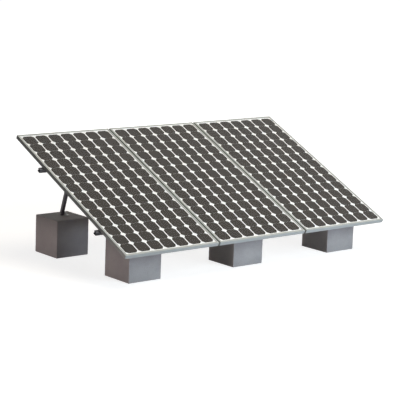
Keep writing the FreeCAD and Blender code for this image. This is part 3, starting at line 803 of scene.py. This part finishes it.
def slopeCube(low, high, shape):
    # A box between two corners in the modules' own directions, its upright corners rounded
    work = bmesh.new()
    bmesh.ops.create_cube(work, size=1)
    bmesh.ops.scale(work, vec=high - low, verts=work.verts)
    upright = [edge for edge in work.edges
               if abs((edge.verts[0].co - edge.verts[1].co).normalized().z) > uprightCosine]
    bmesh.ops.bevel(work, geom=upright, offset=shape["corner"], segments=shape["cornerSteps"], profile=0.5,
                    affect="EDGES")
    rim = [edge for edge in work.edges if edge.calc_face_angle(0) > rimAngle]
    bmesh.ops.bevel(work, geom=rim, offset=shape["corner"] * shape["rimShare"], segments=shape["rimSteps"],
                    profile=0.5, affect="EDGES")
    turn = Matrix((acrossWay, upWay, outWay)).transposed()
    for vertex in work.verts:
        vertex.co = turn @ (vertex.co + (low + high) / 2)
    return work


def boxCorners(node):
    corners = [vertex.co for vertex in nodes[node].data.vertices]
    spans = [spanAlong(corners, way) for way in (acrossWay, upWay, outWay)]
    return Vector([span[0] for span in spans]), Vector([span[1] for span in spans])


def buildGlandTree(form):
    tree, given = newPlacedTree("cableGland", [("Flats", "Float"), ("Length", "Float"), ("Ribs", "Int")])
    radius = times(tree, given["Flats"], 0.5)
    baseHeight = times(tree, given["Length"], form["baseLength"])
    capHeight = times(tree, given["Length"], form["capLength"])
    base = cylinder(tree, hexSides, compute(tree, "DIVIDE", given["Flats"], hexCornerShare), baseHeight)
    capTop = times(tree, radius, form["capTop"])
    cap = cone(tree, form["sides"], times(tree, radius, form["capBottom"]), capTop, capHeight)
    nose = cone(tree, form["sides"], capTop, times(tree, radius, form["noseTop"]),
                times(tree, given["Length"], form["noseLength"]))
    ring = addNode(tree, "GeometryNodeMeshCircle", {"Vertices": given["Ribs"],
                                                    "Radius": times(tree, radius, form["ribRing"])})
    ribWidth = times(tree, radius, form["ribWidth"])
    rib = cube(tree, ribWidth, ribWidth, times(tree, capHeight, form["ribLength"]))
    ribs = addNode(tree, "GeometryNodeInstanceOnPoints", {"Points": ring.outputs[0], "Instance": rib})
    capMiddle = compute(tree, "ADD", baseHeight, times(tree, capHeight, 0.5))
    spreadOut(tree, given, joinParts(tree, [
        placeOf(tree, base, times(tree, baseHeight, 0.5)), placeOf(tree, cap, baseHeight),
        placeOf(tree, nose, compute(tree, "ADD", baseHeight, capHeight)),
        placeOf(tree, ribs.outputs[0], capMiddle)]))
    return tree


glandTree = buildGlandTree(glandForm)


def makeJunctionBox(side, shape, gland):
    node = side + "_module_junction_box"
    low, high = boxCorners(node)
    low.y += gland["length"]
    work = slopeCube(low, high, shape)
    middle, level = (low.x + high.x) / 2, (low.z + high.z) / 2
    spots = [acrossWay * (middle + step * gland["spacing"] / 2) + upWay * low.y + outWay * level
             for step in (-1, 1)]
    work.from_mesh(bakeNodes(side + "Glands", glandTree, spots, [turnFor(-upWay, acrossWay)] * len(spots), {
        "Flats": gland["flats"], "Length": gland["length"], "Ribs": gland["ribs"],
        "Material": materials["plastic"]}))
    dropInnerFaces(work)
    giveMesh(node, "_moulded", work, "plastic")


def makeJunctionLid(side, shape):
    node = side + "_module_junction_lid"
    low, high = boxCorners(node)
    step, inset = shape["fieldStep"], Vector((shape["field"], shape["field"], 0))
    work = slopeCube(low + Vector((0, 0, step)), high, shape)
    fieldTop = Vector((high.x, high.y, low.z + step * 2))
    work.from_mesh(meshFrom(slopeCube(low + inset, fieldTop - inset, shape), "raisedField"))
    turn = turnFor(-outWay, acrossWay).to_matrix().to_4x4()
    for x in (low.x + shape["screwInset"], high.x - shape["screwInset"]):
        for y in (low.y + shape["screwInset"], high.y - shape["screwInset"]):
            spot = acrossWay * x + upWay * y + outWay * (low.z + step * shape["screwSink"])
            bmesh.ops.create_cone(work, cap_ends=True, segments=shape["screwSides"],
                                  radius1=shape["screwRadius"], depth=shape["screwHeight"],
                                  radius2=shape["screwRadius"] * shape["screwTop"],
                                  matrix=Matrix.Translation(spot) @ turn)
    giveMesh(node, "_moulded", work, "plastic")


for side in rackSides:
    makeJunctionBox(side, boxShape, glandShape)
    makeJunctionLid(side, boxShape)
print("junction boxes moulded:", len(rackSides))


# Floor, background and lamps

studio = {
    "floorSize": 400.0,
    "floorDrop": 0.0005,                    # below the blocks' undersides
    "bounceNear": (0.32, 0.295, 0.29),      # light that the floor gives back to the rack: round it,
    "bounceFar": (0.05, 0.046, 0.046),      # away from it
    "bounceFront": (0.37, 0.43, 0.62),      # and before its low edge
    "bounceReach": (1.9, 2.9),              # distance from the middle over which near goes over to far
    "frontReach": (-0.9, -1.7),             # place along Y where the front's share starts and is whole
    "floorShade": (0.44, 0.44, 0.44),       # the seen floor's colour under the lamps
    "floorGlow": (0.80, 1.0),               # its own light, near the rack and far from it
    "glowReach": (2.5, 9.0),                # distance over which that light grows
    "ambientFront": (0.12, 0.114, 0.114),
    "ambientBack": (0.022, 0.0195, 0.020),
    "ambientFrom": (0.60, -0.72, 0.35),     # direction of the front ambient light
    "ambientSpan": 0.8,                     # cosine each side of it at which one light is whole
}
white = (1.0, 1.0, 1.0, 1.0)


def backgroundRays(tree):
    # Where the camera, a reflection or the glass shows the background
    rays = addNode(tree, "ShaderNodeLightPath").outputs
    seenThrough = compute(tree, "MAXIMUM", rays["Is Glossy Ray"], rays["Is Transmission Ray"])
    return compute(tree, "MAXIMUM", rays["Is Camera Ray"], seenThrough)


def buildFloor(setup):
    work = bmesh.new()
    bmesh.ops.create_grid(work, x_segments=1, y_segments=1, size=setup["floorSize"] / 2)
    bmesh.ops.translate(work, vec=(0, 0, -setup["floorDrop"]), verts=work.verts)
    mesh = meshFrom(work, "floor")
    floor = bpy.data.objects.new("floor", mesh)
    bpy.context.scene.collection.objects.link(floor)
    material = bpy.data.materials.new("paleFloor")
    material.use_nodes = True
    tree = material.node_tree
    tree.nodes.clear()
    place = objectPlace(tree)
    away = addNode(tree, "ShaderNodeVectorMath", {0: place}, operation="LENGTH").outputs["Value"]
    depth = addNode(tree, "ShaderNodeSeparateXYZ", {"Vector": place}).outputs["Y"]
    beside = mixColour(tree, remap(tree, away, *setup["bounceReach"]), opaque(setup["bounceNear"]),
                       opaque(setup["bounceFar"]))
    given = mixColour(tree, remap(tree, depth, *setup["frontReach"]), beside, opaque(setup["bounceFront"]))
    bounce = addNode(tree, "ShaderNodeBsdfDiffuse", {"Color": given})
    shadowed = addNode(tree, "ShaderNodeBsdfDiffuse", {"Color": opaque(setup["floorShade"])})
    strength = remap(tree, away, *setup["glowReach"], *setup["floorGlow"])
    glow = addNode(tree, "ShaderNodeEmission", {"Color": white, "Strength": strength})
    pale = addNode(tree, "ShaderNodeAddShader", {0: shadowed.outputs[0], 1: glow.outputs[0]})
    above = addNode(tree, "ShaderNodeMixShader", {0: backgroundRays(tree), 1: bounce.outputs[0],
                                                  2: pale.outputs[0]})
    # Seen from below the floor isn't there, so that the underside can be looked at
    below = addNode(tree, "ShaderNodeNewGeometry").outputs["Backfacing"]
    nothing = addNode(tree, "ShaderNodeBsdfTransparent")
    surface = addNode(tree, "ShaderNodeMixShader", {0: below, 1: above.outputs[0], 2: nothing.outputs[0]})
    addNode(tree, "ShaderNodeOutputMaterial", {0: surface.outputs[0]})
    mesh.materials.append(material)


def buildWorld(setup):
    world = bpy.data.worlds.new("studio")
    bpy.context.scene.world = world
    world.use_nodes = True
    tree = world.node_tree
    tree.nodes.clear()
    direction = addNode(tree, "ShaderNodeTexCoord").outputs["Generated"]
    facing = addNode(tree, "ShaderNodeVectorMath", {0: direction, 1: setup["ambientFrom"]},
                     operation="DOT_PRODUCT").outputs["Value"]
    span = setup["ambientSpan"]
    ambient = mixColour(tree, remap(tree, facing, -span, span), opaque(setup["ambientBack"]),
                        opaque(setup["ambientFront"]))
    colour = mixColour(tree, backgroundRays(tree), ambient, white)
    background = addNode(tree, "ShaderNodeBackground", {"Color": colour, "Strength": 1.0})
    addNode(tree, "ShaderNodeOutputWorld", {0: background.outputs[0]})


lamps = {
    "key": {"place": (2.5, -8.8, 4.3), "target": (0, 0, 0.4), "size": (5.0, 5.0), "power": 597.0,
            "spread": 180, "colour": (0.75, 0.903, 1.0)},
    "lowFront": {"place": (1.0, -6.0, 0.35), "target": (-0.6, -0.3, 0.2), "size": (2.5, 0.5), "power": 105.0,
                 "spread": 180, "colour": (0.716, 0.82, 1.0)},
    "top": {"place": (1.0, -1.8, 7.8), "target": (0, 0, 0.5), "size": (6.0, 6.0), "power": 402.0,
            "spread": 180, "colour": (1.0, 0.895, 0.752)},
    "back": {"place": (3.0, 9.0, 0.42), "target": (0, 0, 0.42), "size": (6.0, 0.8), "power": 450.0,
             "spread": 180, "colour": (1.0, 0.98, 0.95)},
    "lowLeft": {"place": (-5.0, 0.0, 0.16), "target": (0, 0, 0.11), "size": (2.2, 0.27), "power": 0.99,
                "spread": 12, "colour": (1.0, 0.862, 0.868)},
}


def hangLamp(name, setup):
    data = bpy.data.lights.new(name, "AREA")
    data.shape = "RECTANGLE"
    data.size, data.size_y = setup["size"]
    data.spread = math.radians(setup["spread"])
    data.energy = setup["power"]
    data.color = setup["colour"]
    lamp = bpy.data.objects.new(name, data)
    aim = (Vector(setup["target"]) - Vector(setup["place"])).to_track_quat("-Z", "Y")
    lamp.matrix_world = Matrix.Translation(setup["place"]) @ aim.to_matrix().to_4x4()
    bpy.context.scene.collection.objects.link(lamp)


buildFloor(studio)
buildWorld(studio)
for name, setup in lamps.items():
    hangLamp(name, setup)
bpy.context.scene.view_settings.view_transform = "Standard"
print("studio ready")
